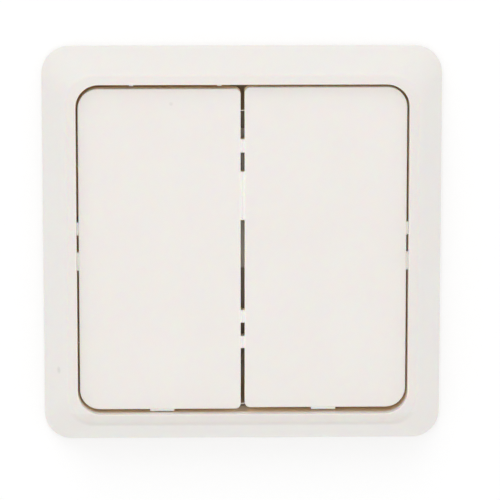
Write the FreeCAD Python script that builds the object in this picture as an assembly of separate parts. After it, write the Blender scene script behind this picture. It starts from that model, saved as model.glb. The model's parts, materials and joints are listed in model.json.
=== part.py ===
import FreeCAD, Part
import math
import os

# Sizes in millimetres. The wall plane is Y = 0, the front faces -Y, +X is to the right and +Z is up.
# The origin is the centre of the cover frame on the wall plane.

# Cover frame
frame_depth = 9.3
frame_band = 0.75
frame_base_radius = 5.5
ledge_width = 1.95
ledge_drop = 0.3
slope_run_side = 5.0
slope_run_end = 4.8
crest_radius = 5.9
slope_bulge = 0.22
crest_round = 0.9
opening_radius = 4.6
opening_chamfer = 0.12
frame_wall = 1.5
frame_skin = 1.8
ledge_thickness = 2.9
rib_thickness = 1.0
rib_spacing = 27.0
rib_ring_gap = 0.4
hook_width = 4.0
hook_thickness = 1.2
hook_inset = 0.1
hook_length = 1.6
hook_nose = 0.65
hook_nose_gap = 0.08
hook_side_position = 18.0
hook_top_position = 12.0
gate_stub_positions = (-22.0, -4.6)
gate_stub_width = 0.8
gate_stub_height = 0.3
gate_stub_depth = 0.8
gate_stub_length = 1.0

# Buttons: they stand off the frame by the two gaps and are pressed by the given angle
press_angle = 4.0
button_gap = 0.8
button_side_gap = 0.4
button_end_gap = 0.875
button_recess = 1.6
button_face_thickness = 1.6
button_skirt = 1.3
skirt_ring_clearance = 0.43
inner_skirt_relief = 0.7
button_outer_radius = 4.0
button_inner_radius = 1.1
button_edge_round = 0.2
button_shift_left = -0.11
button_shift_right = 0.17
button_rib_depth = 0.9
button_rib_thickness = 0.9
side_lug_reach = 0.3
side_lugs = ((2.9, 5.5), (-4.2, -0.55))
gap_lug_reach = 0.345
gap_lugs = ((19.5, 22.1), (5.9, 15.6), (-14.9, -12.4), (-20.1, -17.7))
lug_setback = 0.4
foot_tab_reach = 0.45
foot_tab_from = 13.75
foot_tab_to = 18.6
clip_leg_width = 3.0
clip_leg_thickness = 1.0
clip_leg_inset = 3.4
clip_leg_z = 12.9
clip_nose = 0.55
clip_nose_height = 0.8
clip_seat_gap = 0.05

# Hinge and carriers
hinge_drop = 1.3
trunnion_radius = 1.1
trunnion_clearance = 0.08
carrier_from = 5.8
carrier_width = 16.0
carrier_half_height = 20.4
carrier_thickness = 1.2
carrier_web = 1.2
carrier_boss_wall = 0.4
carrier_web_shoulder = 0.9
carrier_running_gap = 0.3
carrier_rib_depth = 0.9
carrier_rib_gap = 0.8
carrier_corner = 1.0
carrier_window_border = 4.6
carrier_window_half = 8.6
clip_clearance = 0.1

# Support ring
ring_thickness = 1.2
ring_radius = 3.0
ring_opening_radius = 1.5
ring_housing_clearance = 0.3
ring_recess_clearance = 0.3
ring_beyond_claw_screw = 5.9
ring_beyond_box_screw = 5.5
ring_under_frame_side = 2.45
ring_under_frame_end = 2.25
box_screw_spacing = 60.0
box_slot_radius = 1.75
box_slot_length = 6.0
hook_slot_clearance = 0.25
ring_lug_thickness = 1.2
ring_lug_reach = 3.4
ring_lug_half_width = 1.7
ring_lug_gap = 0.4

# Mechanism plate
plate_overlap = 1.1
plate_thickness = 1.1
plate_radius = 2.0
plate_bar_half_width = 0.9
plate_bar_height = 0.8
plate_bar_inset = 7.0
cheek_thickness = 1.2
cheek_half_width = 2.4
cheek_rise = 1.7
cheek_entry_half = 0.95
web_window_clearance = 0.3
sleeve_wall = 1.0

# Base housing
housing_wall = 1.6
housing_strip_gap = 0.3
housing_foot_space = 3.1
housing_floor_space = 2.5
housing_radius = 2.5
housing_chamfer = 0.8
ear_from = 8.0
ear_to = 16.0
ear_reach = 3.0
ear_thickness = 1.6
post_radius = 2.0
post_end = 10.0
corner_screw_radius = 0.95
corner_screw_hole_clearance = 0.03
corner_screw_length = 7.0
corner_screw_head_radius = 1.9
corner_screw_head = 0.8
corner_screw_plate_clearance = 0.15
screw_slot_width = 0.6
screw_slot_depth = 0.45
probe_hole_radius = 1.1
probe_hole_drop = 4.2
gauge_width = 1.2
gauge_length = 11.0
gauge_depth = 0.5
gauge_from_edge = 4.0

# Plungers, bridges and contacts
plunger_inset = 8.0
plunger_z = -15.5
plunger_radius = 2.0
plunger_clearance = 0.1
plunger_dome_gap = 0.1
plunger_dome_height = 0.5
plunger_block = 5.0
plunger_block_from = 4.6
plunger_block_wall = 0.8
plunger_foot = 1.0
plunger_stop_gap = 0.1
plunger_pin_radius = 0.9
plunger_pin_length = 3.2
bridge_thickness = 0.8
bridge_overhang = 1.4
bridge_width = 3.2
contact_offset = 4.8
moving_contact_radius = 1.3
moving_contact_height = 0.6
fixed_contact_radius = 1.5
fixed_contact_height = 0.6
contact_spare_gap = 0.12
strip_thickness = 0.8
strip_half_width = 2.0
output_strip_half = 1.7
spring_radius = 1.6
spring_wire = 0.3
spring_wire_sides = 4
spring_turns = 3.5
spring_length = 5.8
spring_seat_radius = 2.4

# Terminals
terminal_wall_gap = 3.8
cage_half_width = 3.2
cage_from = 4.0
cage_to = 15.2
cage_depth = 8.0
stem_half_width = 2.4
link_height = 3.0
leaf_thickness = 0.4
leaf_width = 5.0
leaf_cage_gap = 0.2
leaf_start_gap = 1.0
leaf_flat_length = 5.6
leaf_loop_radius = 1.4
leaf_angle = 58.0
leaf_tip_gap = 0.3
wire_entry = 2.7
wire_entry_cage_gap = 0.15
wire_funnel = 0.8
wire_funnel_depth = 0.9
lever_half_width = 1.5
lever_from = 8.6
lever_to = 10.4
lever_leaf_gap = 0.45
lever_stand_out = 1.1
lever_collar = 0.8
lever_collar_thickness = 1.0
lever_floor_gap = 0.2
lever_clearance = 0.15

# Spreader claws
claw_housing_gap = 1.6
claw_hinge_y = 1.6
claw_sheet = 1.2
claw_half_height = 6.0
claw_root = 1.0
claw_end = 19.0
claw_pin_radius = 0.8
claw_pin_clearance = 0.1
claw_pin_stand_out = 0.5
tongue_back = 9.2
tongue_half_height = 3.6
tongue_tip = 3.6
tongue_slot_in = 3.9
tongue_slot_out = 1.9
tongue_slot_clearance = 0.35
fork_clearance = 0.4
tooth_reach = 2.6
claw_screw_offset = 5.2
claw_screw_radius = 1.5
claw_screw_end = 15.0
claw_screw_head_radius = 2.8
claw_screw_head = 1.65
claw_screw_head_round = 0.4
claw_screw_head_gap = 0.05
claw_screw_ring_clearance = 0.25
claw_screw_slot = 0.8
nut_nose_radius = 2.0
nut_gap = 0.1
nut_half_height = 2.2
nut_back = 1.7
nut_clearance = 0.03

# Sizes and places that follow from the values above
carrier_to = carrier_from + carrier_width
plunger_x = carrier_to - plunger_inset
output_strip_from = plunger_x + contact_offset - output_strip_half
output_strip_to = plunger_x + contact_offset + output_strip_half
housing_width = 2 * (output_strip_to + housing_strip_gap + housing_wall)
housing_height = 2 * (strip_half_width + housing_foot_space + housing_wall - plunger_z)
claw_hinge_x = housing_width / 2 + claw_housing_gap + claw_sheet / 2
claw_screw_x = claw_hinge_x + claw_screw_offset
ring_width = 2 * (claw_screw_x + ring_beyond_claw_screw)
ring_height = box_screw_spacing + 2 * ring_beyond_box_screw
opening_width = ring_width - 2 * ring_under_frame_side
opening_height = ring_height - 2 * ring_under_frame_end
crest_width = opening_width + 2 * ledge_width
crest_height = opening_height + 2 * ledge_width
frame_width = crest_width + 2 * slope_run_side
frame_height = crest_height + 2 * slope_run_end
crest_depth = frame_depth - ledge_drop
hollow_top = frame_depth - ledge_thickness
rib_foot = ring_thickness + rib_ring_gap
hook_side_in = opening_width / 2 + hook_inset
hook_top_in = opening_height / 2 + hook_inset
gate_stub_front = frame_depth - gate_stub_depth
gate_stub_back = gate_stub_front - gate_stub_length
button_height = opening_height - 2 * button_end_gap
button_front = frame_depth - button_recess
button_back = -button_front + button_face_thickness
press_travel = button_height / 2 * math.sin(math.radians(press_angle))
button_skirt_end = ring_thickness + skirt_ring_clearance + press_travel
button_inner_skirt_end = button_skirt_end + inner_skirt_relief
button_rib_end = -button_back - button_rib_depth
lug_front = button_front - lug_setback
carrier_back = button_back + carrier_thickness
hinge_y = carrier_back + hinge_drop
carrier_boss_radius = trunnion_radius + carrier_boss_wall
carrier_web_half = carrier_boss_radius + carrier_web_shoulder
ring_opening_width = housing_width + 2 * ring_housing_clearance
ring_opening_height = housing_height + 2 * ring_housing_clearance
plate_width = ring_opening_width + 2 * plate_overlap
plate_height = ring_opening_height + 2 * plate_overlap
cheek_top = -hinge_y + cheek_rise
plate_front = -ring_thickness - plate_thickness
post_x = housing_width / 2 - post_radius
post_z = housing_height / 2 - post_radius
carrier_rib_half = post_z - corner_screw_head_radius - carrier_rib_gap
plunger_top = carrier_back + plunger_dome_gap
plunger_travel = abs(plunger_z) * math.sin(math.radians(press_angle))
sleeve_end = plunger_block_from - plunger_stop_gap
bridge_from = plunger_block_from + plunger_block_wall
plunger_block_to = bridge_from + bridge_thickness + plunger_foot
plunger_pin_end = plunger_block_to + plunger_pin_length
bridge_half_length = contact_offset + bridge_overhang
moving_contact_from = bridge_from + bridge_thickness
fixed_contact_from = moving_contact_from + moving_contact_height + plunger_travel + contact_spare_gap
strip_front = fixed_contact_from + fixed_contact_height
strip_back = strip_front + strip_thickness
housing_floor = strip_back + cage_depth + housing_floor_space
housing_back = housing_floor + housing_wall
terminal_x = housing_width / 2 - housing_wall - terminal_wall_gap - cage_half_width
spring_seat = plunger_block_to + spring_length
leaf_z = cage_from + strip_thickness + leaf_cage_gap
leaf_start = strip_back + leaf_start_gap
leaf_loop_y = leaf_start + leaf_flat_length
leaf_centre_z = leaf_z + leaf_loop_radius
leaf_top_z = leaf_centre_z + leaf_loop_radius * math.cos(math.radians(leaf_angle))
leaf_tip_z = cage_to - strip_thickness - leaf_tip_gap
leaf_length = (leaf_tip_z - leaf_top_z) / math.sin(math.radians(leaf_angle))
wire_entry_z = cage_to - strip_thickness - wire_entry / 2 - wire_entry_cage_gap
lever_tip = leaf_loop_y + lever_leaf_gap
lever_end = housing_back + lever_stand_out
lever_collar_to = housing_floor - lever_floor_gap
lever_collar_from = lever_collar_to - lever_collar_thickness
ring_lug_z = claw_half_height + ring_lug_gap
claw_pin_end = ring_lug_z + ring_lug_thickness + claw_pin_stand_out
tongue_end = claw_screw_x + tongue_tip
tongue_slot_from = claw_screw_x - tongue_slot_in
tongue_slot_to = claw_screw_x + tongue_slot_out
tongue_slot_half = claw_screw_radius + tongue_slot_clearance
fork_half = nut_half_height + fork_clearance


def vec(x, y, z):
    return FreeCAD.Vector(x, y, z)


def box(x0, x1, y0, y1, z0, z1):
    return Part.makeBox(x1 - x0, y1 - y0, z1 - z0, vec(x0, y0, z0))


def rod_y(radius, x, z, y0, y1):
    return Part.makeCylinder(radius, y1 - y0, vec(x, y0, z), vec(0, 1, 0))


def rod_z(radius, x, y, z0, z1):
    return Part.makeCylinder(radius, z1 - z0, vec(x, y, z0), vec(0, 0, 1))


def rod_x(radius, y, z, x0, x1):
    return Part.makeCylinder(radius, x1 - x0, vec(x0, y, z), vec(1, 0, 0))


def outline(x0, x1, z0, z1, radii, y):
    low_left, low_right, high_right, high_left = radii
    corners = (
        (x1, z0, low_right, -1, 1, -90),
        (x1, z1, high_right, -1, -1, 0),
        (x0, z1, high_left, 1, -1, 90),
        (x0, z0, low_left, 1, 1, 180),
    )
    edges = []
    start = vec(x0 + low_left, y, z0)
    last = start
    for cx, cz, radius, sx, sz, angle in corners:
        ox = cx + sx * radius
        oz = cz + sz * radius
        points = []
        for step in (0, 45, 90):
            a = math.radians(angle + step)
            points.append(vec(ox + radius * math.cos(a), y, oz + radius * math.sin(a)))
        edges.append(Part.makeLine(last, points[0]))
        edges.append(Part.Arc(points[0], points[1], points[2]).toShape())
        last = points[2]
    return Part.Wire(edges)


def square(half_x, half_z, radius, y):
    return outline(-half_x, half_x, -half_z, half_z, (radius, radius, radius, radius), y)


def eight_sided(half_x, half_z, corner, y):
    a = half_x - corner
    b = half_z - corner
    points = []
    for x, z in ((a, -half_z), (half_x, -b), (half_x, b), (a, half_z)):
        points.append(vec(x, y, z))
    for x, z in ((-a, half_z), (-half_x, b), (-half_x, -b), (-a, -half_z)):
        points.append(vec(x, y, z))
    points.append(points[0])
    return Part.makePolygon(points)


def square_sided(half_x, half_z, x, y, z):
    points = []
    for sx, sz in ((-1, -1), (1, -1), (1, 1), (-1, 1), (-1, -1)):
        points.append(vec(x + sx * half_x, y, z + sz * half_z))
    return Part.makePolygon(points)


def plate(wire, thickness):
    return Part.Face(wire).extrude(vec(0, thickness, 0))


def mirrored(shape):
    return shape.mirror(vec(0, 0, 0), vec(1, 0, 0))


def edges_on(shape, y):
    found = []
    for edge in shape.Edges:
        bounds = edge.BoundBox
        if abs(bounds.YMin - y) < 1e-4 and abs(bounds.YMax - y) < 1e-4:
            found.append(edge)
    return found


def save(name, shape):
    shape = shape.removeSplitter()
    shape.exportStep("parts/" + name + ".step")
    print(name, len(shape.Solids), round(shape.Volume, 1), shape.isValid())


# Cover frame: a lofted moulding, hollow behind its slopes, with ribs and snap hooks
def make_cover_frame():
    half_x = frame_width / 2
    half_z = frame_height / 2
    band = plate(square(half_x, half_z, frame_base_radius, -frame_band), frame_band)
    middle = (frame_band + crest_depth) / 2
    middle_x = (half_x + crest_width / 2) / 2 + slope_bulge
    middle_z = (half_z + crest_height / 2) / 2 + slope_bulge
    middle_radius = (frame_base_radius + crest_radius) / 2
    sections = [
        square(half_x, half_z, frame_base_radius, -frame_band),
        square(middle_x, middle_z, middle_radius, -middle),
        square(crest_width / 2, crest_height / 2, crest_radius, -crest_depth),
    ]
    slopes = Part.makeLoft(sections, True, False)
    crest = square(crest_width / 2, crest_height / 2, crest_radius, -crest_depth)
    rim = square(opening_width / 2, opening_height / 2, opening_radius, -frame_depth)
    ledge = Part.makeLoft([crest, rim], True, True)
    body = band.multiFuse([slopes, ledge]).removeSplitter()
    mouth = square(opening_width / 2, opening_height / 2, opening_radius, -frame_depth - 1)
    body = body.cut(plate(mouth, frame_depth + 2))
    body = body.makeFillet(crest_round, edges_on(body, -crest_depth))
    c = opening_chamfer
    lip_x = opening_width / 2 + 2 * c
    lip_z = opening_height / 2 + 2 * c
    lip = square(lip_x, lip_z, opening_radius + 2 * c, -frame_depth - c)
    throat = square(opening_width / 2, opening_height / 2, opening_radius, c - frame_depth)
    body = body.cut(Part.makeLoft([lip, throat], True, True))
    wall_x = opening_width / 2 + frame_wall
    wall_z = opening_height / 2 + frame_wall
    wall_radius = opening_radius + frame_wall
    skin_x = half_x - frame_skin
    skin_z = half_z - frame_skin
    hollow_foot = eight_sided(skin_x, skin_z, frame_base_radius, 0.0)
    hollow_roof = eight_sided(wall_x + 0.05, wall_z + 0.05, frame_base_radius, -hollow_top)
    hollow = Part.makeLoft([hollow_foot, hollow_roof], True, True)
    inner_wall = plate(square(wall_x, wall_z, wall_radius, -frame_depth), frame_depth)
    hollow = hollow.cut(inner_wall)
    body = body.cut(hollow)
    recess_x = ring_width / 2 + ring_recess_clearance
    recess_z = ring_height / 2 + ring_recess_clearance
    recess = plate(square(recess_x, recess_z, ring_radius, -ring_thickness), ring_thickness + 1)
    body = body.cut(recess)
    ribs = []
    half_rib = rib_thickness / 2
    for p in (-rib_spacing, 0.0, rib_spacing):
        ribs.append(box(-half_x, half_x, -hollow_top, -rib_foot, p - half_rib, p + half_rib))
        ribs.append(box(p - half_rib, p + half_rib, -hollow_top, -rib_foot, -half_z, half_z))
    rib_set = ribs[0].multiFuse(ribs[1:]).common(hollow)
    pieces = [rib_set]
    foot = -rib_foot
    leg_in = hook_side_in
    leg_out = leg_in + hook_thickness
    for sz in (-1, 1):
        for sx in (-1, 1):
            z = sz * hook_side_position
            leg = box(leg_in, leg_out, foot, hook_length, z - hook_width / 2, z + hook_width / 2)
            nose_out = leg_out + hook_nose
            nose = box(leg_in, nose_out, hook_nose_gap, hook_length, z - hook_width / 2, z + hook_width / 2)
            hook = leg.fuse(nose)
            if sx < 0:
                hook = mirrored(hook)
            pieces.append(hook)
    lift_in = hook_top_in
    lift_out = lift_in + hook_thickness
    for sx in (-1, 1):
        x = sx * hook_top_position
        for sz in (-1, 1):
            leg = box(x - hook_width / 2, x + hook_width / 2, foot, hook_length, lift_in, lift_out)
            nose_out = lift_out + hook_nose
            nose = box(x - hook_width / 2, x + hook_width / 2, hook_nose_gap, hook_length, lift_in, nose_out)
            hook = leg.fuse(nose)
            if sz < 0:
                hook = hook.mirror(vec(0, 0, 0), vec(0, 0, 1))
            pieces.append(hook)
    top_edge = opening_height / 2
    for x in gate_stub_positions:
        half = gate_stub_width / 2
        low = top_edge - gate_stub_height
        pieces.append(box(x - half, x + half, -gate_stub_front, -gate_stub_back, low, top_edge + 0.3))
    return body.multiFuse(pieces)


# Button: a thin moulding with a skirt all round, spacer lugs, stiffening ribs and four clip legs
def make_button(shift):
    x0 = button_gap / 2
    x1 = opening_width / 2 - button_side_gap
    z0 = -button_height / 2 + shift
    z1 = button_height / 2 + shift
    outer_radii = (button_inner_radius, button_outer_radius, button_outer_radius, button_inner_radius)
    depth = button_front - button_skirt_end
    body = plate(outline(x0, x1, z0, z1, outer_radii, -button_front), depth)
    body = body.makeFillet(button_edge_round, edges_on(body, -button_front))
    t = button_skirt
    small = max(button_inner_radius - t, 0.3)
    inner_radii = (small, button_outer_radius - t, button_outer_radius - t, small)
    back = button_back
    cavity = plate(outline(x0 + t, x1 - t, z0 + t, z1 - t, inner_radii, back), 8.0)
    body = body.cut(cavity)
    body = body.cut(box(x0 - 1, x0 + t + 0.01, -button_inner_skirt_end, 0, z0 + 4.0, z1 - 4.0))
    half_rib = button_rib_thickness / 2
    middle = (carrier_from + carrier_to) / 2
    clear_z = carrier_half_height + 1.6
    rib_z = carrier_half_height + 5.6
    pieces = []
    for z in (-rib_z, rib_z):
        pieces.append(box(x0 + t / 2, x1 - t / 2, back - 0.2, -button_rib_end, z - half_rib, z + half_rib))
    for x in (middle - 4.0, middle + 4.0):
        pieces.append(box(x - half_rib, x + half_rib, back - 0.2, -button_rib_end, clear_z, z1 - t / 2))
        pieces.append(box(x - half_rib, x + half_rib, back - 0.2, -button_rib_end, z0 + t / 2, -clear_z))
    for x in (carrier_from - 2.2, carrier_to + 3.4):
        pieces.append(box(x - half_rib, x + half_rib, back - 0.2, -button_rib_end, z0 + t / 2, z1 - t / 2))
    for low, high in side_lugs:
        pieces.append(box(x1 - 0.4, x1 + side_lug_reach, -lug_front, -button_skirt_end, low, high))
    for low, high in gap_lugs:
        pieces.append(box(x0 - gap_lug_reach, x0 + 0.4, -lug_front, -button_inner_skirt_end, low, high))
    foot = z0 - foot_tab_reach
    pieces.append(box(foot_tab_from, foot_tab_to, -lug_front, -button_skirt_end, foot, z0 + 0.4))
    for x in (carrier_from + clip_leg_inset, carrier_to - clip_leg_inset):
        for s in (-1, 1):
            half = clip_leg_width / 2
            a = s * clip_leg_z
            b = s * (clip_leg_z + clip_leg_thickness)
            c = s * (clip_leg_z + clip_leg_thickness + clip_nose)
            low, high = min(a, b), max(a, b)
            nose_front = carrier_back + clip_seat_gap
            leg_end = nose_front + clip_nose_height
            pieces.append(box(x - half, x + half, back - 0.2, leg_end, low, high))
            low, high = min(a, c), max(a, c)
            pieces.append(box(x - half, x + half, nose_front, leg_end, low, high))
    return body.multiFuse(pieces)


# Carrier: the rocking cradle under a button, with its hinge pins and the slots for the clip legs
def make_carrier():
    front = button_back
    back = carrier_back
    h = carrier_half_height
    c = carrier_corner
    body = plate(outline(carrier_from, carrier_to, -h, h, (c, c, c, c), front), carrier_thickness)
    for x0, x1 in ((carrier_from, carrier_from + carrier_web), (carrier_to - carrier_web, carrier_to)):
        web = box(x0, x1, back - 0.3, hinge_y, -carrier_web_half, carrier_web_half)
        boss = rod_x(carrier_boss_radius, hinge_y, 0, x0, x1)
        rib_back = back + carrier_rib_depth
        side = box(x0, x1, back - 0.3, rib_back, -carrier_rib_half, carrier_rib_half)
        body = body.multiFuse([web, boss, side])
    pin = cheek_thickness + carrier_running_gap - 0.1
    body = body.fuse(rod_x(trunnion_radius, hinge_y, 0, carrier_from - pin, carrier_from + carrier_web))
    body = body.fuse(rod_x(trunnion_radius, hinge_y, 0, carrier_to - carrier_web, carrier_to + pin))
    for x in (carrier_from + clip_leg_inset, carrier_to - clip_leg_inset):
        half = clip_leg_width / 2 + clip_clearance
        for s in (-1, 1):
            a = s * (clip_leg_z - clip_clearance)
            b = s * (clip_leg_z + clip_leg_thickness + clip_clearance)
            body = body.cut(box(x - half, x + half, front - 1, back + 0.01, min(a, b), max(a, b)))
    x0 = carrier_from + carrier_window_border
    x1 = carrier_to - carrier_window_border
    return body.cut(box(x0, x1, front - 1, back + 1, -carrier_window_half, carrier_window_half))


# Support ring: a stamped steel plate with screw slots, hook slots and bent lugs for the claws
def make_support_ring():
    t = ring_thickness
    body = plate(square(ring_width / 2, ring_height / 2, ring_radius, -t), t)
    hole = square(ring_opening_width / 2, ring_opening_height / 2, ring_opening_radius, -t - 1)
    body = body.cut(plate(hole, t + 2))
    reach = (box_slot_length / 2) - box_slot_radius
    for s in (-1, 1):
        z = s * box_screw_spacing / 2
        slot = box(-box_slot_radius, box_slot_radius, -t - 1, 1, z - reach, z + reach)
        slot = slot.fuse(rod_y(box_slot_radius, 0, z - reach, -t - 1, 1))
        slot = slot.fuse(rod_y(box_slot_radius, 0, z + reach, -t - 1, 1))
        body = body.cut(slot)
    c = hook_slot_clearance
    leg_in = hook_side_in - c
    leg_out = hook_side_in + hook_thickness + c
    lift_in = hook_top_in - c
    lift_out = hook_top_in + hook_thickness + c
    for sx in (-1, 1):
        for sz in (-1, 1):
            z = sz * hook_side_position
            x0, x1 = min(sx * leg_in, sx * leg_out), max(sx * leg_in, sx * leg_out)
            body = body.cut(box(x0, x1, -t - 1, 1, z - hook_width / 2 - c, z + hook_width / 2 + c))
            x = sx * hook_top_position
            z0, z1 = min(sz * lift_in, sz * lift_out), max(sz * lift_in, sz * lift_out)
            body = body.cut(box(x - hook_width / 2 - c, x + hook_width / 2 + c, -t - 1, 1, z0, z1))
        body = body.cut(rod_y(claw_screw_radius + claw_screw_ring_clearance, sx * claw_screw_x, 0, -t - 1, 1))
    lugs = []
    lug_z = ring_lug_z
    for sx in (-1, 1):
        for sz in (-1, 1):
            x0 = sx * claw_hinge_x - ring_lug_half_width
            x1 = sx * claw_hinge_x + ring_lug_half_width
            z0 = min(sz * lug_z, sz * (lug_z + ring_lug_thickness))
            lug = box(x0, x1, -0.2, ring_lug_reach, z0, z0 + ring_lug_thickness)
            radius = claw_pin_radius + claw_pin_clearance
            hole = rod_z(radius, sx * claw_hinge_x, claw_hinge_y, z0 - 1, z0 + 3)
            lugs.append(lug.cut(hole))
    return body.multiFuse(lugs)


# Mechanism plate: closes the housing in front of the ring, carries the hinge cheeks and plunger sleeves
def make_mechanism_plate():
    back = -ring_thickness
    front = plate_front
    body = plate(square(plate_width / 2, plate_height / 2, plate_radius, front), plate_thickness)
    cheeks = []
    holes = []
    inner_cheek = carrier_from - carrier_running_gap
    outer_cheek = carrier_to + carrier_running_gap
    spans = ((inner_cheek - cheek_thickness, inner_cheek), (outer_cheek, outer_cheek + cheek_thickness))
    hole_radius = trunnion_radius + trunnion_clearance
    for s in (-1, 1):
        for a, b in spans:
            x0, x1 = min(s * a, s * b), max(s * a, s * b)
            cheeks.append(box(x0, x1, -cheek_top, back, -cheek_half_width, cheek_half_width))
            holes.append(rod_x(hole_radius, hinge_y, 0, x0 - 0.01, x1 + 0.01))
            holes.append(box(x0, x1, -cheek_top - 1, hinge_y, -cheek_entry_half, cheek_entry_half))
        g = web_window_clearance
        w = carrier_web_half + g
        for a in (carrier_from - g, carrier_to - carrier_web - g):
            b = a + carrier_web + 2 * g
            x0, x1 = min(s * a, s * b), max(s * a, s * b)
            holes.append(box(x0, x1, front - 1, back + 1, -w, w))
        bore = plunger_radius + plunger_clearance
        cheeks.append(rod_y(bore + sleeve_wall, s * plunger_x, plunger_z, back, sleeve_end))
        holes.append(rod_y(bore, s * plunger_x, plunger_z, front - 1, sleeve_end + 1))
        for q in (-1, 1):
            x = s * post_x
            z = q * post_z
            holes.append(rod_y(corner_screw_radius + corner_screw_plate_clearance, x, z, front - 1, back + 1))
    body = body.multiFuse(cheeks)
    for hole in holes:
        body = body.cut(hole)
    b = plate_bar_half_width
    reach = plate_height / 2 - plate_bar_inset
    bar = box(-b, b, front - plate_bar_height, front + 0.1, -reach, reach)
    return body.fuse(bar)


# Base housing: an open box behind the ring with ears, screw posts, seats and wire entries
def make_base_housing():
    half_x = housing_width / 2
    half_z = housing_height / 2
    front = -ring_thickness
    r = housing_radius
    w = housing_wall
    body = plate(square(half_x, half_z, r, front), housing_back - front)
    body = body.makeChamfer(housing_chamfer, edges_on(body, housing_back))
    inner = half_x - w
    floor = housing_floor
    body = body.cut(plate(square(inner, half_z - w, r - w, front - 1), floor - front + 1))
    pieces = []
    for s in (-1, 1):
        x0, x1 = min(s * ear_from, s * ear_to), max(s * ear_from, s * ear_to)
        for q in (-1, 1):
            z0 = min(q * (half_z - 0.5), q * (half_z + ear_reach))
            pieces.append(box(x0, x1, 0, ear_thickness, z0, z0 + ear_reach + 0.5))
            pieces.append(rod_y(post_radius, s * post_x, q * post_z, front, post_end))
        pieces.append(rod_y(spring_seat_radius, s * plunger_x, plunger_z, spring_seat, floor + 0.2))
        z0 = plunger_z - strip_half_width
        z1 = plunger_z + strip_half_width
        x0, x1 = min(s * output_strip_from, s * (inner + 0.2)), max(s * output_strip_from, s * (inner + 0.2))
        pieces.append(box(x0, x1, strip_back, floor + 0.2, z0, z1))
        near = plunger_x - contact_offset - moving_contact_radius
        x0, x1 = min(s * near, s * (near + 2.6)), max(s * near, s * (near + 2.6))
        pieces.append(box(x0, x1, strip_back, floor + 0.2, z0, z1))
        rail = terminal_x - cage_half_width - 0.5
        x0, x1 = min(s * rail, s * (rail - 0.7)), max(s * rail, s * (rail - 0.7))
        pieces.append(box(x0, x1, strip_front - 1.2, floor + 0.2, cage_from, cage_to))
    for x in (-terminal_x, 0, terminal_x):
        end = strip_back + cage_depth
        seat = box(x - 2.0, x + 2.0, end, floor + 0.2, cage_from, cage_from + strip_thickness)
        pieces.append(seat)
        back_wall = box(x - 2.0, x + 2.0, strip_front + 1.0, floor + 0.2, cage_to + 0.02, cage_to + 1.0)
        pieces.append(back_wall)
    body = body.multiFuse(pieces)
    for s in (-1, 1):
        for q in (-1, 1):
            radius = corner_screw_radius + corner_screw_hole_clearance
            x = s * post_x
            z = q * post_z
            body = body.cut(rod_y(radius, x, z, front - 1, corner_screw_length + 1.0))
    e = wire_entry / 2
    f = e + wire_funnel
    d = wire_funnel_depth
    for x in (-terminal_x, 0, terminal_x):
        body = body.cut(box(x - e, x + e, floor - 1, housing_back + 1, wire_entry_z - e, wire_entry_z + e))
        wide = square_sided(f, f, x, housing_back + 0.001, wire_entry_z)
        narrow = square_sided(e, e, x, housing_back - d, wire_entry_z)
        body = body.cut(Part.makeLoft([wide, narrow], True, True))
        c = lever_clearance
        a = lever_half_width + c
        body = body.cut(box(x - a, x + a, floor - 1, housing_back + 1, lever_from - c, lever_to + c))
        probe_z = lever_from - probe_hole_drop
        body = body.cut(rod_y(probe_hole_radius, x, probe_z, floor - 1, housing_back + 1))
    gauge_z = gauge_from_edge - half_z
    g = gauge_width / 2
    gauge_x = gauge_length / 2
    gauge_from = housing_back - gauge_depth
    return body.cut(box(-gauge_x, gauge_x, gauge_from, housing_back + 1, gauge_z - g, gauge_z + g))


def make_corner_screws():
    screws = []
    under_head = plate_front
    for s in (-1, 1):
        for q in (-1, 1):
            x = s * post_x
            z = q * post_z
            shank = rod_y(corner_screw_radius, x, z, under_head, under_head + corner_screw_length)
            head = rod_y(corner_screw_head_radius, x, z, under_head - corner_screw_head, under_head)
            screw = shank.fuse(head)
            half = screw_slot_width / 2
            top = under_head - corner_screw_head
            screw = screw.cut(box(x - 3, x + 3, top - 1, top + screw_slot_depth, z - half, z + half))
            screws.append(screw)
    return Part.makeCompound(screws)


# Plunger: a domed rod with a slotted block for the contact bridge and a pin for its spring
def make_plunger():
    top = plunger_top
    shoulder = top + plunger_dome_height
    body = rod_y(plunger_radius, plunger_x, plunger_z, shoulder, plunger_block_from)
    sphere_radius = (plunger_radius ** 2 + plunger_dome_height ** 2) / (2 * plunger_dome_height)
    ball = Part.makeSphere(sphere_radius, vec(plunger_x, top + sphere_radius, plunger_z), vec(0, 1, 0))
    dome = ball.common(rod_y(plunger_radius, plunger_x, plunger_z, top - 0.5, shoulder + 0.2))
    half = plunger_block / 2
    x0 = plunger_x - half
    z0 = plunger_z - half
    block = box(x0, x0 + plunger_block, plunger_block_from, plunger_block_to, z0, z0 + plunger_block)
    pin = rod_y(plunger_pin_radius, plunger_x, plunger_z, plunger_block_to, plunger_pin_end)
    body = body.multiFuse([dome, block, pin])
    w = bridge_width / 2
    x1 = x0 + plunger_block + 1
    slot = box(x0 - 1, x1, bridge_from, moving_contact_from, plunger_z - w, plunger_z + w)
    return body.cut(slot)


def make_bridge():
    w = bridge_width / 2
    x0 = plunger_x - bridge_half_length
    x1 = plunger_x + bridge_half_length
    wire = outline(x0, x1, plunger_z - w, plunger_z + w, (0.6, 0.6, 0.6, 0.6), bridge_from)
    return plate(wire, bridge_thickness)


def make_contacts(radius, height, y0, sides):
    discs = []
    for s in sides:
        for offset in (-contact_offset, contact_offset):
            discs.append(rod_y(radius, s * (plunger_x + offset), plunger_z, y0, y0 + height))
    return Part.makeCompound(discs)


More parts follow.
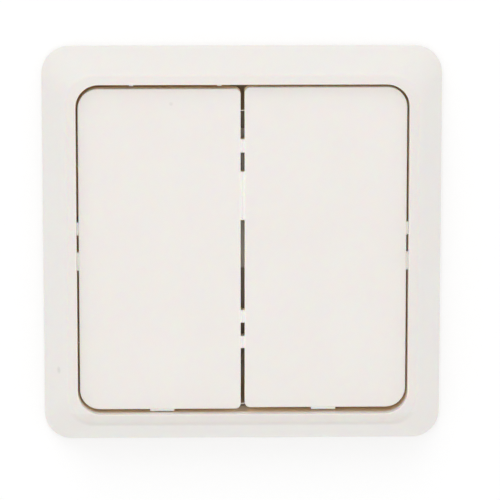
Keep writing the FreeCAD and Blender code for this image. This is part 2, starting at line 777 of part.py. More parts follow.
# Return spring: a round wire swept along a helix between the plunger and its seat
def make_spring():
    start = plunger_block_to + spring_wire
    length = spring_seat - spring_wire - start
    helix = Part.makeHelix(length / spring_turns, length, spring_radius)
    corners = []
    for i in range(spring_wire_sides + 1):
        a = 2 * math.pi * (i % spring_wire_sides) / spring_wire_sides
        corners.append(vec(spring_radius + spring_wire * math.cos(a), 0, spring_wire * math.sin(a)))
    sweep = Part.Wire(helix.Edges).makePipeShell([Part.makePolygon(corners)], True, True)
    sweep.rotate(vec(0, 0, 0), vec(1, 0, 0), -90)
    sweep.translate(vec(plunger_x, start, plunger_z))
    return sweep


def cage(x):
    y0 = strip_front
    y1 = strip_back
    base = box(x - cage_half_width, x + cage_half_width, y0, y1, cage_from, cage_to)
    t = strip_thickness
    low = box(x - cage_half_width, x + cage_half_width, y0, y1 + cage_depth, cage_from, cage_from + t)
    high = box(x - cage_half_width, x + cage_half_width, y0, y1 + cage_depth, cage_to - t, cage_to)
    return base.multiFuse([low, high])


def make_common_terminal():
    y0 = strip_front
    y1 = strip_back
    reach = plunger_x - contact_offset + fixed_contact_radius
    bar = box(-reach, reach, y0, y1, plunger_z - strip_half_width, plunger_z + strip_half_width)
    stem = box(-stem_half_width, stem_half_width, y0, y1, plunger_z, cage_from + 1)
    return bar.multiFuse([stem, cage(0)])


def make_output_terminal():
    y0 = strip_front
    y1 = strip_back
    top = cage_from + link_height
    rail = box(output_strip_from, output_strip_to, y0, y1, plunger_z - strip_half_width, top)
    link = box(terminal_x, output_strip_to, y0, y1, cage_from, top)
    return rail.multiFuse([link, cage(terminal_x)])


# Clamp spring: a leaf bent into a loop, its free end pointing into the cage towards the wire
def make_clamp_spring(x):
    half = leaf_width / 2
    t = leaf_thickness
    flat = box(x - half, x + half, leaf_start, leaf_loop_y, leaf_z, leaf_z + t)
    centre_z = leaf_centre_z
    ring = rod_x(leaf_loop_radius, leaf_loop_y, centre_z, x - half, x + half)
    ring = ring.cut(rod_x(leaf_loop_radius - t, leaf_loop_y, centre_z, x - half - 1, x + half + 1))
    ring = ring.cut(box(x - half - 1, x + half + 1, leaf_loop_y - 4, leaf_loop_y, centre_z - 4, centre_z + 4))
    top = leaf_z + 2 * leaf_loop_radius
    leaf = box(x - half, x + half, leaf_loop_y - leaf_length, leaf_loop_y, top - t, top)
    leaf.rotate(vec(x, leaf_loop_y, centre_z), vec(1, 0, 0), -leaf_angle)
    wedge = rod_x(leaf_loop_radius, leaf_loop_y, centre_z, x - half, x + half)
    wedge = wedge.cut(rod_x(leaf_loop_radius - t, leaf_loop_y, centre_z, x - half - 1, x + half + 1))
    keep = box(x - half, x + half, leaf_loop_y, leaf_loop_y + 3, centre_z, centre_z + 3)
    keep.rotate(vec(x, leaf_loop_y, centre_z), vec(1, 0, 0), -leaf_angle)
    wedge = wedge.common(keep)
    return ring.multiFuse([flat, leaf, wedge])


def make_lever(x):
    w = lever_half_width
    stem = box(x - w, x + w, lever_tip, lever_end, lever_from, lever_to)
    collar_w = w + lever_collar
    collar = box(x - collar_w, x + collar_w, lever_collar_from, lever_collar_to, lever_from, lever_to)
    return stem.fuse(collar)


# Spreader claw: bent sheet with hinge pins, a slotted tongue for its screw and two toothed prongs
def make_claw():
    t = claw_sheet
    x0 = claw_hinge_x - t / 2
    x1 = claw_hinge_x + t / 2
    h = claw_half_height
    arm = box(x0, x1, claw_root, claw_end, -h, h)
    tongue = box(x1 - 0.1, tongue_end, tongue_back - t, tongue_back, -tongue_half_height, tongue_half_height)
    flange_points = (
        (x0, -h),
        (x1 + tooth_reach * 0.4, -h),
        (x1 + tooth_reach, -h + 0.8),
        (x1 + tooth_reach * 0.4, -h + 1.7),
        (x1 + tooth_reach, -h + 2.6),
        (x1 + tooth_reach * 0.4, -fork_half),
        (x0, -fork_half),
    )
    points = []
    for px, pz in flange_points:
        points.append(vec(px, claw_end - t, pz))
    points.append(points[0])
    flange = Part.Face(Part.makePolygon(points)).extrude(vec(0, t, 0))
    other = flange.mirror(vec(0, 0, 0), vec(0, 0, 1))
    low_pin = rod_z(claw_pin_radius, claw_hinge_x, claw_hinge_y, -claw_pin_end, -h + 1)
    high_pin = rod_z(claw_pin_radius, claw_hinge_x, claw_hinge_y, h - 1, claw_pin_end)
    body = arm.multiFuse([tongue, flange, other, low_pin, high_pin])
    body = body.cut(box(x0 - 1, x1 + 1, tongue_back + 0.01, claw_end + 1, -fork_half, fork_half))
    s = tongue_slot_half
    body = body.cut(box(tongue_slot_from, tongue_slot_to, tongue_back - t - 1, tongue_back + 1, -s, s))
    return body


def make_claw_screw():
    seat = -ring_thickness - claw_screw_head_gap
    shank = rod_y(claw_screw_radius, claw_screw_x, 0, seat, claw_screw_end)
    head = rod_y(claw_screw_head_radius, claw_screw_x, 0, seat - claw_screw_head, seat)
    head = head.makeChamfer(claw_screw_head_round, edges_on(head, seat - claw_screw_head))
    screw = shank.fuse(head)
    half = claw_screw_slot / 2
    top = seat - claw_screw_head
    return screw.cut(box(claw_screw_x - 4, claw_screw_x + 4, top - 1, top + 0.8, -half, half))


def make_claw_nut():
    h = nut_half_height
    r = nut_nose_radius
    centre_y = tongue_back + nut_gap + r
    nose = rod_z(r, claw_screw_x, centre_y, -h, h)
    block = box(claw_screw_x - r, claw_screw_x + r, centre_y, centre_y + nut_back, -h, h)
    nut = nose.fuse(block)
    return nut.cut(rod_y(claw_screw_radius + nut_clearance, claw_screw_x, 0, centre_y - 5, centre_y + 5))


os.makedirs("parts", exist_ok=True)
save("cover_frame", make_cover_frame())
save("button_right", make_button(button_shift_right))
save("button_left", mirrored(make_button(button_shift_left)))
carrier = make_carrier()
save("carrier_right", carrier)
save("carrier_left", mirrored(carrier))
save("support_ring", make_support_ring())
save("mechanism_plate", make_mechanism_plate())
save("base_housing", make_base_housing())
save("corner_screws", make_corner_screws())
plunger = make_plunger()
save("plunger_right", plunger)
save("plunger_left", mirrored(plunger))
bridge = make_bridge()
save("contact_bridge_right", bridge)
save("contact_bridge_left", mirrored(bridge))
for name, sides in (("right", (1,)), ("left", (-1,))):
    discs = make_contacts(moving_contact_radius, moving_contact_height, moving_contact_from, sides)
    save("moving_contacts_" + name, discs)
save("fixed_contacts", make_contacts(fixed_contact_radius, fixed_contact_height, fixed_contact_from, (-1, 1)))
spring = make_spring()
save("return_spring_right", spring)
save("return_spring_left", mirrored(spring))
save("common_terminal", make_common_terminal())
output = make_output_terminal()
save("output_terminal_right", output)
save("output_terminal_left", mirrored(output))
for name, x in (("left", -terminal_x), ("middle", 0.0), ("right", terminal_x)):
    save("clamp_spring_" + name, make_clamp_spring(x))
    save("release_lever_" + name, make_lever(x))
claw = make_claw()
save("claw_right", claw)
save("claw_left", mirrored(claw))
claw_screw = make_claw_screw()
save("claw_screw_right", claw_screw)
save("claw_screw_left", mirrored(claw_screw))
claw_nut = make_claw_nut()
save("claw_nut_right", claw_nut)
save("claw_nut_left", mirrored(claw_nut))
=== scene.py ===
"""Push button light switch: finishes, fine pieces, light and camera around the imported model."""
import bpy
import bmesh
import json
import math
import numpy as np
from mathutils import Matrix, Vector


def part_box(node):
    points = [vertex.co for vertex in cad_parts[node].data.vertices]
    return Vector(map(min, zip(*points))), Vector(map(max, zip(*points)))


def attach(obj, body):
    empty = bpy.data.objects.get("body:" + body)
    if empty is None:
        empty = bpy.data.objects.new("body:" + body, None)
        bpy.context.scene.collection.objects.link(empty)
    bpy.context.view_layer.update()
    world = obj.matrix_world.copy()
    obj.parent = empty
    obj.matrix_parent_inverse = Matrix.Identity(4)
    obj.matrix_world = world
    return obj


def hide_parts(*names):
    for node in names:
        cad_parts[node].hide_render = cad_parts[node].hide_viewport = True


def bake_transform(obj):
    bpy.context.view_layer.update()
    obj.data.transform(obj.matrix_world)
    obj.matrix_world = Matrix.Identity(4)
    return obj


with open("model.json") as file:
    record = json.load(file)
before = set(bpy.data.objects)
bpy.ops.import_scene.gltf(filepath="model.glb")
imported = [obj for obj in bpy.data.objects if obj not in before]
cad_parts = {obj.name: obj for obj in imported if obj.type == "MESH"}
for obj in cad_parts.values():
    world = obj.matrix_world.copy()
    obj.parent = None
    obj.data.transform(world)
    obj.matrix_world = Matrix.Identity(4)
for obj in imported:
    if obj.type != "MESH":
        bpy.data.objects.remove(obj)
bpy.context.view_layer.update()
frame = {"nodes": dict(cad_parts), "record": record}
nodes = frame["nodes"]
MM = 0.001

# X runs to the right, Y into the wall and Z up, from the middle of the switch.
# The buttons' face, and their plain sides within the reach of the spacer lugs
button_low, button_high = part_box("button_right")
button_face = button_low.y
side_lug_reach = 0.3 * MM
gap_lug_reach = 0.345 * MM
button_inner_side = button_low.x + gap_lug_reach
button_outer_side = button_high.x - side_lug_reach

# The cover frame's opening: a square about its inner wall, and the height of its foot
opening_half = 33.5 * MM
opening_foot = -33.1 * MM

# How deep down in a gap the painted warm shade (a honey tone) starts and is full, and how far light is
# carried in the plastic
painted_shade_from = 0.6 * MM
painted_shade_full = 2.6 * MM
carry_plain = 0.4 * MM
carry_deep = 3.0 * MM


def srgb(red, green, blue):
    """Screen values 0 to 255 as linear colour."""
    out = []
    for value in (red, green, blue):
        v = value / 255.0
        out.append(v / 12.92 if v <= 0.04045 else ((v + 0.055) / 1.055) ** 2.4)
    return tuple(out) + (1.0,)


class Finish:
    """A node material with helpers for tones by place, a fine bump, slow colour drift and specks."""

    def __init__(self, name, colour, roughness, metallic=0.0):
        self.material = bpy.data.materials.new(name)
        self.material.use_nodes = True
        self.tree = self.material.node_tree
        self.shader = self.tree.nodes["Principled BSDF"]
        self.shader.inputs["Base Color"].default_value = colour
        self.shader.inputs["Roughness"].default_value = roughness
        self.shader.inputs["Metallic"].default_value = metallic
        self.coords = self.tree.nodes.new("ShaderNodeTexCoord")
        self.colour_out = None
        self.colour = colour

    def link(self, a, b):
        """Join an output to an input."""
        self.tree.links.new(a, b)

    def noise(self, scale, detail=2.0, stretch=None):
        """A noise pattern on the object's own coordinates."""
        node = self.tree.nodes.new("ShaderNodeTexNoise")
        node.inputs["Scale"].default_value = scale
        node.inputs["Detail"].default_value = detail
        source = self.coords.outputs["Object"]
        if stretch:
            mapping = self.tree.nodes.new("ShaderNodeMapping")
            mapping.inputs["Scale"].default_value = stretch
            self.link(source, mapping.inputs["Vector"])
            source = mapping.outputs["Vector"]
        self.link(source, node.inputs["Vector"])
        return node.outputs["Fac"]

    def remap(self, value, low, high, to_low, to_high):
        """A pattern's range low to high becomes to_low to to_high, and stops there."""
        node = self.tree.nodes.new("ShaderNodeMapRange")
        node.inputs["From Min"].default_value = low
        node.inputs["From Max"].default_value = high
        node.inputs["To Min"].default_value = to_low
        node.inputs["To Max"].default_value = to_high
        self.link(value, node.inputs["Value"])
        return node.outputs["Result"]

    def math(self, operation, a, b=None):
        """One step of arithmetic on a pattern; b is another pattern or a plain number."""
        node = self.tree.nodes.new("ShaderNodeMath")
        node.operation = operation
        self.link(a, node.inputs[0])
        if isinstance(b, float):
            node.inputs[1].default_value = b
        elif b is not None:
            self.link(b, node.inputs[1])
        return node.outputs["Value"]

    def place(self):
        """How far to either side of the middle a point lies, its depth Y and its height Z, in metres."""
        node = self.tree.nodes.new("ShaderNodeSeparateXYZ")
        self.link(self.coords.outputs["Object"], node.inputs["Vector"])
        return self.math("ABSOLUTE", node.outputs["X"]), node.outputs["Y"], node.outputs["Z"]

    def within(self, half):
        """1 inside an upright square of the given half width about the middle, seen from the front."""
        side, _, up = self.place()
        return self.math("LESS_THAN", self.math("MAXIMUM", side, self.math("ABSOLUTE", up)), half)

    def mixed(self, other, mask):
        """Another colour where the mask is 1."""
        mix = self.tree.nodes.new("ShaderNodeMix")
        mix.data_type = "RGBA"
        if self.colour_out is None:
            mix.inputs["A"].default_value = self.colour
        else:
            self.link(self.colour_out, mix.inputs["A"])
        mix.inputs["B"].default_value = other
        self.link(mask, mix.inputs["Factor"])
        self.colour_out = mix.outputs["Result"]
        self.link(self.colour_out, self.shader.inputs["Base Color"])

    def drift(self, other, value, low=0.3, high=0.7, amount=1.0):
        """The colour moves slowly between the base colour and another one."""
        self.mixed(other, self.remap(value, low, high, 0.0, amount))

    def speck(self, place, radius, other):
        """A soft round speck of another colour about a point of the object."""
        gap = self.tree.nodes.new("ShaderNodeVectorMath")
        gap.operation = "DISTANCE"
        gap.inputs[1].default_value = place
        self.link(self.coords.outputs["Object"], gap.inputs[0])
        self.mixed(other, self.remap(gap.outputs["Value"], radius * 0.35, radius, 1.0, 0.0))

    def grain(self, value, strength, distance):
        """A fine bump from a height field."""
        bump = self.tree.nodes.new("ShaderNodeBump")
        bump.inputs["Strength"].default_value = strength
        bump.inputs["Distance"].default_value = distance
        self.link(value, bump.inputs["Height"])
        self.link(bump.outputs["Normal"], self.shader.inputs["Normal"])

    def sheen(self, value, low, high):
        """Roughness that varies between two values."""
        self.link(self.remap(value, 0.3, 0.7, low, high), self.shader.inputs["Roughness"])


def white_plastic(name, colour):
    """Warm white moulded plastic that lets a little light in, with a fine grain."""
    f = Finish(name, colour, 0.42)
    f.shader.inputs["Subsurface Weight"].default_value = 0.8
    f.shader.inputs["Subsurface Radius"].default_value = (1.0, 0.55, 0.3)
    f.drift(tuple(c * k for c, k in zip(colour, (0.992, 0.988, 0.984, 1.0))), f.noise(90.0, 3.0))
    f.grain(f.noise(9000.0, 2.0), 0.12, 0.02 * MM)
    f.sheen(f.noise(600.0, 2.0), 0.38, 0.48)
    return f


def painted_warm_gap_shade(f, deep):
    """The walls down in the gaps, where deep is 1: painted warm shade in a honey tone, and a sheen as of a
    little dust.

    It gives back how far light is carried in the plastic.
    """
    # Painted shade: deep down in the gaps the colour goes over to a warm honey tone.
    f.mixed((1.0, 0.8, 0.56, 1.0), deep)
    f.link(deep, f.shader.inputs["Sheen Weight"])
    f.shader.inputs["Sheen Roughness"].default_value = 0.5
    f.shader.inputs["Sheen Tint"].default_value = (1.0, 0.75, 0.48, 1.0)
    return f.remap(deep, 0.0, 1.0, carry_plain, carry_deep)


def frame_plastic():
    """The cover frame: painted warm shade on the walls in the opening, painted light under the tabs,
    painted shade under the centre gap, on the ledge and on the foot, and a grey speck on the left.
    """
    wall_front = -8.3 * MM
    ledge_front, ledge_back = -9.02 * MM, -8.8 * MM
    foot_front, foot_back = -8.6 * MM, -7.8 * MM
    foot_slope = 2.7 * MM
    tab_x, tab_half = 16.18 * MM, 2.5 * MM
    f = white_plastic("frame_plastic", srgb(237, 234, 230))
    side, y, z = f.place()
    deep = f.remap(y, wall_front + painted_shade_from, wall_front + painted_shade_full, 0.0, 1.0)
    deep = f.math("MULTIPLY", deep, f.within(opening_half))
    carry = painted_warm_gap_shade(f, deep)
    f.link(carry, f.shader.inputs["Subsurface Scale"])

    foot_wall = f.math("MULTIPLY", deep, f.math("LESS_THAN", z, opening_foot + 0.1 * MM))
    # Painted light: on the bottom wall of the opening, under each button's tab, the painted gap shade gives
    # way to a lighter warm white.
    under_tab = f.math("LESS_THAN", f.math("ABSOLUTE", f.math("SUBTRACT", side, tab_x)), tab_half)
    f.mixed((1.0, 0.96, 0.9, 1.0), f.math("MULTIPLY", foot_wall, under_tab))
    # Painted shade: the bottom wall of the opening is darker brown under the centre gap.
    under_gap = f.remap(side, 0.6 * MM, 1.6 * MM, 1.0, 0.0)
    f.mixed(srgb(160, 140, 112), f.math("MULTIPLY", foot_wall, under_gap))

    # Painted shade: the ledge at the front of the frame is a little darker.
    f.mixed(srgb(235, 231, 227), f.remap(y, ledge_front, ledge_back, 1.0, 0.0))
    # Painted shade: below the opening the front of the frame is darker, most towards the bottom.
    foot = f.remap(y, foot_front, foot_back, 1.0, 0.0)
    foot = f.math("MULTIPLY", foot, f.remap(z, opening_foot - foot_slope, opening_foot, 1.0, 0.3))
    f.mixed(srgb(226, 222, 217), f.math("MULTIPLY", foot, f.math("LESS_THAN", z, opening_foot)))
    f.speck((-36.87 * MM, -6.15 * MM, -24.7 * MM), 0.9 * MM, srgb(222, 219, 216))
    return f.material


def button_plastic():
    """The buttons: a painted highlight on the edge, painted warm shade on the skirts, spacer lugs painted
    lighter against the shade of the gaps, and two faint specks on the left one.
    """
    edge = button_face + 0.03 * MM
    edge_round = 0.06 * MM
    lug_depth = 0.9 * MM
    slack = 0.01 * MM
    f = white_plastic("button_plastic", srgb(239, 235, 231))
    side, y, _ = f.place()
    # Painted highlight: the rounded edge and the sides just behind the face are lighter and warmer than the
    # face.
    f.mixed((1.0, 0.975, 0.94, 1.0), f.remap(y, edge, edge + edge_round, 0.0, 1.0))
    carry = painted_warm_gap_shade(f, f.remap(y, edge + painted_shade_from, edge + painted_shade_full, 0.0, 1.0))

    in_gap = f.math("LESS_THAN", side, button_inner_side - slack)
    outside = f.math("GREATER_THAN", side, button_outer_side + slack)
    in_front = f.math("LESS_THAN", y, button_face + lug_depth)
    lug = f.math("MULTIPLY", f.math("MAXIMUM", in_gap, outside), in_front)
    # Painted light: the spacer lugs are lighter than the plain plastic, against the shade of the gaps, and
    # a little greyer than the painted edge highlight.
    f.mixed((0.94, 0.915, 0.88, 1.0), lug)
    carry = f.math("SUBTRACT", carry, f.remap(lug, 0.0, 1.0, 0.0, 0.35 * MM))
    f.link(carry, f.shader.inputs["Subsurface Scale"])
    f.speck((-14.16 * MM, button_face, 29.29 * MM), 0.5 * MM, srgb(229, 225, 221))
    f.speck((-2.33 * MM, button_face, 1.15 * MM), 0.4 * MM, srgb(237, 233, 229))
    return f.material


def dull_plastic(name, colour, other, amount=0.5, strip=None):
    """Plain moulded plastic of the inner pieces; a strip of painted shade darkens the lower middle behind
    the gap.
    """
    f = Finish(name, colour, 0.55)
    f.drift(other, f.noise(420.0, 3.0), amount=amount)
    if strip:
        # Painted shade: the lower middle, behind the centre gap, is darker.
        side, _, z = f.place()
        middle = f.remap(side, 1.2 * MM, 1.8 * MM, 1.0, 0.0)
        f.mixed(strip, f.math("MULTIPLY", middle, f.remap(z, -4.6 * MM, -4.2 * MM, 1.0, 0.0)))
    f.grain(f.noise(6000.0, 3.0), 0.25, 0.03 * MM)
    f.sheen(f.noise(900.0, 3.0), 0.48, 0.64)
    return f.material


def zinc_plated(name, colour, other, front_tone, painted_shade_behind_gap):
    """Zinc-plated steel sheet; its front, which only shows down in the gaps, is passivated honey yellow,
    with painted shade behind the centre gap.
    """
    ring_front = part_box("support_ring")[0].y
    f = Finish(name, colour, 0.36)
    f.drift(other, f.noise(260.0, 4.0), 0.35, 0.65)
    side, y, _ = f.place()
    front = f.remap(y, ring_front, ring_front + 0.3 * MM, 1.0, 0.0)
    f.mixed(front_tone, front)
    # Painted shade: behind the centre gap the front is darker and greyer.
    f.mixed(painted_shade_behind_gap, f.math("MULTIPLY", front, f.remap(side, 2.0 * MM, 3.0 * MM, 1.0, 0.0)))
    f.link(f.remap(front, 0.0, 1.0, 0.85, 0.1), f.shader.inputs["Metallic"])
    f.grain(f.noise(2500.0, 2.0, (1.0, 1.0, 6.0)), 0.15, 0.01 * MM)
    f.sheen(f.noise(1400.0, 3.0), 0.32, 0.46)
    return f.material


def drawn_metal(name, colour, other, roughness):
    """Bare metal with the fine lengthwise lines of drawn wire and rolled strip."""
    stretch = (1.0, 1.0, 6.0)
    f = Finish(name, colour, roughness, 1.0)
    f.drift(other, f.noise(160.0, 4.0), 0.35, 0.65)
    f.grain(f.noise(2500.0, 2.0, stretch), 0.15, 0.01 * MM)
    f.sheen(f.noise(1400.0, 3.0, stretch), roughness - 0.06, roughness + 0.12)
    return f.material


finishes = {
    "frame_plastic": frame_plastic(),
    "button_plastic": button_plastic(),
    "carrier_plastic": dull_plastic("carrier_plastic", srgb(226, 222, 212), srgb(216, 211, 199)),
    "insert_plastic": dull_plastic(
        "insert_plastic", srgb(236, 230, 220), srgb(228, 220, 208), strip=srgb(160, 148, 128),
    ),
    "base_plastic": dull_plastic("base_plastic", srgb(219, 216, 208), srgb(210, 206, 197), 0.3),
    "plunger_plastic": dull_plastic("plunger_plastic", srgb(232, 232, 226), srgb(222, 222, 214)),
    "lever_plastic": dull_plastic("lever_plastic", srgb(224, 122, 44), srgb(208, 106, 34)),
    "zinc_steel": zinc_plated(
        "zinc_steel", srgb(214, 208, 190), srgb(196, 190, 174),
        front_tone=srgb(250, 200, 140), painted_shade_behind_gap=srgb(142, 132, 116),
    ),
    "screw_steel": drawn_metal("screw_steel", srgb(196, 192, 184), srgb(176, 172, 166), 0.28),
    "spring_steel": drawn_metal("spring_steel", srgb(186, 188, 192), srgb(160, 162, 168), 0.22),
    "copper": drawn_metal("copper", srgb(214, 142, 108), srgb(190, 118, 86), 0.3),
    "silver": drawn_metal("silver", srgb(224, 222, 216), srgb(204, 202, 196), 0.3),
    "brass": drawn_metal("brass", srgb(214, 180, 106), srgb(192, 158, 88), 0.3),
}
for part in frame["record"]["subparts"]:
    thing = nodes[part["node"]]
    material = finishes[part["material_slot"]]
    if not thing.data.materials:
        thing.data.materials.append(material)
    for slot in thing.material_slots:
        slot.material = material


def knitted(name):
    """A copy of a node's mesh with its loose triangles joined."""
    mesh = nodes[name].data.copy()
    knit = bmesh.new()
    knit.from_mesh(mesh)
    bmesh.ops.remove_doubles(knit, verts=knit.verts, dist=1e-6)
    bmesh.ops.triangulate(knit, faces=knit.faces)
    knit.to_mesh(mesh)
    knit.free()
    return mesh


def points_of(mesh):
    """A mesh's points as rows of X, Y and Z."""
    points = np.empty(len(mesh.vertices) * 3)
    mesh.vertices.foreach_get("co", points)
    return points.reshape(-1, 3)


def placed(name, data):
    """A new object at the origin, for a mesh that holds its own place, or for a lamp or a camera."""
    thing = bpy.data.objects.new(name, data)
    bpy.context.collection.objects.link(thing)
    return thing


def button_with_close_lugs(name, body):
    """A button whose spacer lugs reach to a hair's breadth of what they keep it from.

    It is the node's own mesh, joined; where |X| is under 0.1 mm it becomes 0.012 mm, and where it
    is over 32.9 mm it becomes 33.03 mm, on the same side.
    """
    centre_zone, centre_end = 0.1 * MM, 0.012 * MM
    side_zone, side_end = 32.9 * MM, 33.03 * MM
    mesh = knitted(name)
    points = points_of(mesh)
    x = points[:, 0]
    side = np.sign(x)
    x = np.where(np.abs(x) < centre_zone, side * centre_end, x)
    points[:, 0] = np.where(np.abs(x) > side_zone, side * side_end, x)
    mesh.vertices.foreach_set("co", points.ravel())
    mesh.update()
    mesh.shade_flat()
    thing = placed(name + "_close_lugs", mesh)
    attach(thing, body)
    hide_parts(name)


def giving_spring(name):
    """A spring: the node's own mesh, joined, shaded smooth with sharp edges over 40 degrees, in place of
    the node, which is hidden.
    """
    mesh = knitted(name)
    mesh.shade_smooth()
    mesh.set_sharp_from_angle(angle=math.radians(40))
    thing = placed(name + "_giving", mesh)
    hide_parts(name)
    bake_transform(thing)


def threaded_shank(x, seat, tip, crest):
    """The points and faces of a screw's shank with its thread cut, closed at both ends.

    It is a surface over turn angle a and depth y: its radius is a blunt saw of
    (y / pitch - a / full turn), between root and crest, faded out under the head and at the tip.
    One more ring of points, at the crest's radius, starts the shank inside the head.
    """
    pitch = 0.5 * MM
    root = 1.2 * MM
    runout = 0.8 * MM
    inside_head = 0.3 * MM
    tip_radius = root - 0.15 * MM
    tip_slope = 0.9
    around = 36
    per_turn = 10
    rows = int(round((tip - seat) / pitch * per_turn)) + 1
    angles = np.arange(around) * 2 * np.pi / around
    a, y = np.meshgrid(angles, np.linspace(seat, tip, rows), indexing="ij")
    saw = np.abs(2.0 * np.mod(y / pitch - a / (2 * np.pi), 1.0) - 1.0)
    tooth = np.clip(1.5 * saw - 0.25, 0.0, 1.0)
    cut = np.clip((y - seat) / runout - 0.5, 0.0, 1.0)
    radius = crest - (crest - root) * (1.0 - tooth) * cut
    radius = np.minimum(radius, tip_radius + (tip - y) * tip_slope)

    first = np.full((around, 1), 1.0)
    y = np.concatenate([first * (seat - inside_head), y], axis=1)
    a = np.concatenate([a[:, :1], a], axis=1)
    radius = np.concatenate([first * crest, radius], axis=1)
    rows += 1
    shank = np.stack([x + radius * np.sin(a), y, radius * np.cos(a)], axis=-1).reshape(-1, 3)
    ends = np.array([[x, seat - inside_head, 0.0], [x, tip, 0.0]])

    i, j = np.meshgrid(np.arange(around), np.arange(rows - 1), indexing="ij")
    here = i * rows + j
    beside = (i + 1) % around * rows + j
    quads = np.stack([here, here + 1, beside + 1, beside], axis=-1).reshape(-1, 4)
    ring = np.arange(around) * rows
    after = np.roll(ring, -1)
    head_end = np.full(around, len(shank))
    near = np.stack([head_end, ring, after], axis=-1)
    far = np.stack([head_end + 1, after + rows - 1, ring + rows - 1], axis=-1)
    return np.concatenate([shank, ends]), quads, np.concatenate([near, far])


def bare_head(name, x, seat, crest):
    """The points and triangles of a screw node, without those of its plain shank."""
    head = knitted(name)
    points = points_of(head)
    corners = np.empty(len(head.loops), dtype=np.int32)
    head.loops.foreach_get("vertex_index", corners)
    corners = corners.reshape(-1, 3)
    slack = 0.01 * MM
    plain = (np.hypot(points[:, 0] - x, points[:, 2]) < crest + slack) & (points[:, 1] > seat - slack)
    corners = corners[~plain[corners].all(axis=1)]
    used, corners = np.unique(corners, return_inverse=True)
    bpy.data.meshes.remove(head)
    return points[used], corners.reshape(-1, 3)


def threaded_screw(name, body):
    """A claw screw: the node's own head, merged, on a shank with its thread cut."""
    seat = -1.25 * MM
    crest = 1.5 * MM
    near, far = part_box(name)
    x = (near.x + far.x) / 2
    head, head_faces = bare_head(name, x, seat, crest)
    shank, quads, end_faces = threaded_shank(x, seat, far.y, crest)
    shift = len(head)
    faces = head_faces.tolist() + (quads + shift).tolist() + (end_faces + shift).tolist()
    mesh = bpy.data.meshes.new(name + "_threaded")
    mesh.from_pydata(np.concatenate([head, shank]).tolist(), [], faces)
    mesh.shade_smooth()
    mesh.set_sharp_from_angle(angle=math.radians(28))
    mesh.materials.append(finishes["screw_steel"])
    thing = placed(name + "_threaded", mesh)
    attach(thing, body)
    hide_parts(name)


def backdrop():
    """The white wall that the frame rests on, seen from the front only, with painted shade where the wall
    box opens.
    """
    half = 3.0
    wall_y = 0.4 * MM
    box_half = 36.0 * MM
    mesh = bpy.data.meshes.new("backdrop")
    corners = [(-half, wall_y, -half), (half, wall_y, -half), (half, wall_y, half), (-half, wall_y, half)]
    mesh.from_pydata(corners, [], [(0, 1, 2, 3)])
    f = Finish("backdrop_white", (1.0, 1.0, 1.0, 1.0), 0.9)
    f.shader.inputs["Specular IOR Level"].default_value = 0.0
    box = f.within(box_half)
    # Painted shade: inside the frame's outline the wall is dark brown-grey and does not glow, for the shade
    # of the wall box.
    f.mixed(srgb(150, 134, 112), box)
    tree = f.tree
    path = tree.nodes.new("ShaderNodeLightPath")
    facing = tree.nodes.new("ShaderNodeNewGeometry")
    glow = tree.nodes.new("ShaderNodeEmission")
    add = tree.nodes.new("ShaderNodeAddShader")
    clear = tree.nodes.new("ShaderNodeBsdfTransparent")
    seen = tree.nodes.new("ShaderNodeMixShader")
    f.link(f.remap(box, 0.0, 1.0, 0.01, 0.0), glow.inputs["Strength"])
    f.link(f.shader.outputs["BSDF"], add.inputs[0])
    f.link(glow.outputs["Emission"], add.inputs[1])
    front_view = f.math("SUBTRACT", path.outputs["Is Camera Ray"], facing.outputs["Backfacing"])
    f.link(front_view, seen.inputs["Fac"])
    f.link(clear.outputs["BSDF"], seen.inputs[1])
    f.link(add.outputs["Shader"], seen.inputs[2])
    f.link(seen.outputs["Shader"], tree.nodes["Material Output"].inputs["Surface"])
    mesh.materials.append(f.material)
    placed("backdrop", mesh)


def area_light(name, place, size, power):
    """A square lamp that points at the middle of the switch."""
    data = bpy.data.lights.new(name, "AREA")
    data.shape = "SQUARE"
    data.size = size
    data.energy = power
    lamp = placed(name, data)
    lamp.location = place
    lamp.rotation_euler = (-Vector(place)).to_track_quat("-Z", "Y").to_euler()


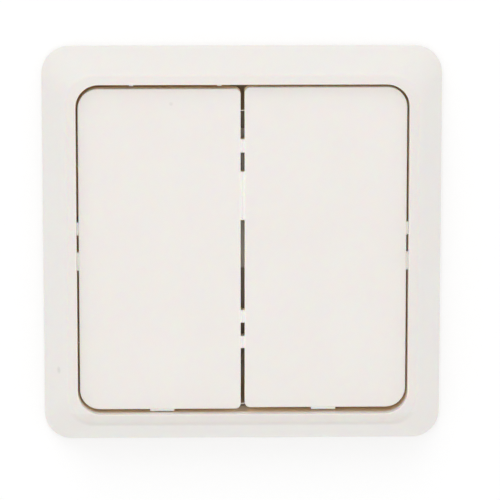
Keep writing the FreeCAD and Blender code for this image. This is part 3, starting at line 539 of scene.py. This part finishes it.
def surroundings():
    """A plain white world: a little dimmer as light than it looks to the camera and in reflections."""
    world = bpy.data.worlds.new("studio")
    world.use_nodes = True
    tree = world.node_tree
    sky = tree.nodes["Background"]
    sky.inputs["Color"].default_value = (1.0, 1.0, 1.0, 1.0)
    sky.inputs["Strength"].default_value = 0.89
    white = tree.nodes.new("ShaderNodeBackground")
    white.inputs["Color"].default_value = (1.0, 1.0, 1.0, 1.0)
    white.inputs["Strength"].default_value = 1.0
    path = tree.nodes.new("ShaderNodeLightPath")
    mix = tree.nodes.new("ShaderNodeMixShader")
    direct = tree.nodes.new("ShaderNodeMath")
    direct.operation = "MAXIMUM"
    tree.links.new(path.outputs["Is Camera Ray"], direct.inputs[0])
    tree.links.new(path.outputs["Is Glossy Ray"], direct.inputs[1])
    tree.links.new(direct.outputs["Value"], mix.inputs["Fac"])
    tree.links.new(sky.outputs["Background"], mix.inputs[1])
    tree.links.new(white.outputs["Background"], mix.inputs[2])
    tree.links.new(mix.outputs["Shader"], tree.nodes["World Output"].inputs["Surface"])
    bpy.context.scene.world = world


def camera():
    """The photograph's viewpoint: slightly above and slightly to the left, from 0.67 m."""
    elevation = math.radians(9.95)
    azimuth = math.radians(-1.06)
    distance = 0.672
    aim = Vector((1.62 * MM, 0.0, -1.45 * MM))
    back = Vector((
        math.sin(azimuth) * math.cos(elevation),
        -math.cos(azimuth) * math.cos(elevation),
        math.sin(elevation),
    ))
    data = bpy.data.cameras.new("camera")
    data.lens = 240.05
    data.sensor_width = 36.0
    data.clip_start = 0.01
    thing = placed("camera", data)
    thing.location = back * distance
    thing.rotation_euler = (aim - thing.location).to_track_quat("-Z", "Y").to_euler()
    bpy.context.scene.camera = thing


for side in ("left", "right"):
    threaded_screw("claw_screw_" + side, "claw_screw_" + side + "_body")
for side in ("left", "right"):
    button_with_close_lugs("button_" + side, "button_" + side + "_set")
    giving_spring(
        "return_spring_" + side,
    )
for place in ("left", "middle", "right"):
    giving_spring(
        "clamp_spring_" + place,
    )
backdrop()
surroundings()
area_light("key_light", (-0.28, -0.85, 1.3), 0.9, 2.8)
area_light("front_light", (-0.02, -1.2, 0.1), 0.22, 0.9)
camera()
bpy.context.scene.view_settings.view_transform = "Standard"
